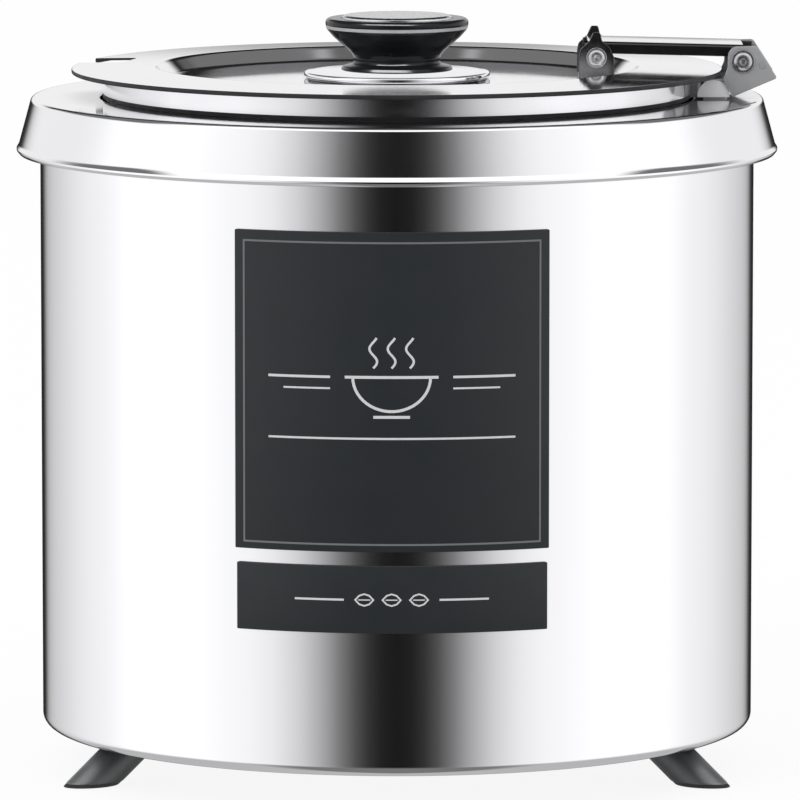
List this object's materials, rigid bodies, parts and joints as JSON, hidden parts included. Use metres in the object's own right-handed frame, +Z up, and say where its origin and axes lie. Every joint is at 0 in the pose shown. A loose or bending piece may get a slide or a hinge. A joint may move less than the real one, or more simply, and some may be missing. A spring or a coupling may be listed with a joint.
{
  "type": "soup kettle",
  "caption": "Round polished-steel soup kettle on splayed feet, with conical collar, lift-out pot, strap-hinged recessed lid, black knob and magnetic labels.",
  "frame": {"origin": "on the surface the kettle stands on, under the middle of the body", "axes": "+Z up along the body's axis; -Y is the front, where the labels are; +X is towards the lid hinge; +Y is the rear, where the controls are"},
  "size_m": [0.345, 0.345, 0.343],
  "materials": {
    "shell_steel": "polished",
    "collar_steel": "polished",
    "pot_steel": "satin",
    "lid_steel": "polished",
    "hinge_steel": "satin",
    "fastener_steel": "bright",
    "knob_phenolic": "moulded, semi-gloss",
    "knob_disc": "satin",
    "foot_phenolic": "moulded, semi-gloss",
    "pad_rubber": "matt",
    "label_vinyl": "printed vinyl on magnetic sheet",
    "mineral_wool": "fibrous",
    "heat_aluminium": "cast",
    "element_sheath": "oxidised",
    "brass": "bright",
    "ivory_plastic": "moulded",
    "black_plastic": "moulded",
    "amber_lens": "translucent"
  },
  "bodies": {
    "base": {"outer_shell": "shell_steel", "base_pan": "shell_steel", "base_cover": "shell_steel", "base_screws": "fastener_steel", "collar_ring": "collar_steel", "water_well": "pot_steel", "insulation": "mineral_wool", "foot_front_left": "foot_phenolic", "foot_front_right": "foot_phenolic", "foot_rear": "foot_phenolic", "foot_pads": "pad_rubber", "foot_screws": "fastener_steel", "heat_plate": "heat_aluminium", "heating_element": "element_sheath", "element_clamp": "element_sheath", "plate_nuts": "brass", "thermostat_body": "ivory_plastic", "thermostat_bulb": "brass", "thermal_cutout": "black_plastic", "terminal_block": "ivory_plastic", "earth_stud": "brass", "control_plate": "shell_steel", "lamp_body": "black_plastic", "lamp_lens": "amber_lens", "cable_gland": "black_plastic", "gland_nut": "black_plastic"},
    "dial": {"control_knob": "black_plastic", "thermostat_shaft": "fastener_steel"},
    "large_label": {"main_label": "label_vinyl"},
    "small_label": {"strip_label": "label_vinyl"},
    "pot": {"inner_pot": "pot_steel", "hinge_saddle": "hinge_steel", "hinge_bracket": "hinge_steel", "saddle_screws": "fastener_steel", "hinge_pin": "fastener_steel", "hinge_washers": "fastener_steel", "stop_pin": "fastener_steel"},
    "arm": {"hinge_arm": "hinge_steel"},
    "lid": {"lid_shell": "lid_steel", "locating_ring": "lid_steel", "ear_bracket": "hinge_steel", "ear_rivets": "fastener_steel", "ear_pin": "fastener_steel", "ear_washers": "fastener_steel", "knob_saucer": "lid_steel", "knob_body": "knob_phenolic", "knob_inlay": "knob_disc", "knob_stud": "brass", "knob_nut": "fastener_steel"}
  },
  "joints": [
    {"name": "pot_lift", "type": "slide", "parent": "base", "child": "pot", "axis": [0, 0, 1], "range_m": [0, 0.24]},
    {"name": "lid_hinge", "type": "hinge", "parent": "pot", "child": "arm", "pos_m": [0.156, 0, 0.3234], "axis": [0, 1, 0], "range_deg": [0, 100]},
    {"name": "lid_tilt", "type": "hinge", "parent": "arm", "child": "lid", "pos_m": [0.09, 0, 0.325], "axis": [0, 1, 0], "range_deg": [0, 5]},
    {"name": "dial_turn", "type": "hinge", "parent": "base", "child": "dial", "pos_m": [0, 0.165, 0.05], "axis": [0, -1, 0], "range_deg": [0, 300]},
    {"name": "large_label_off", "type": "slide", "parent": "base", "child": "large_label", "axis": [0, -1, 0], "range_m": [0, 0.03]},
    {"name": "small_label_off", "type": "slide", "parent": "base", "child": "small_label", "axis": [0, -1, 0], "range_m": [0, 0.03]}
  ],
  "couplings": [
    {"joint": "lid_tilt", "follows": "lid_hinge", "ratio": 0.04}
  ]
}
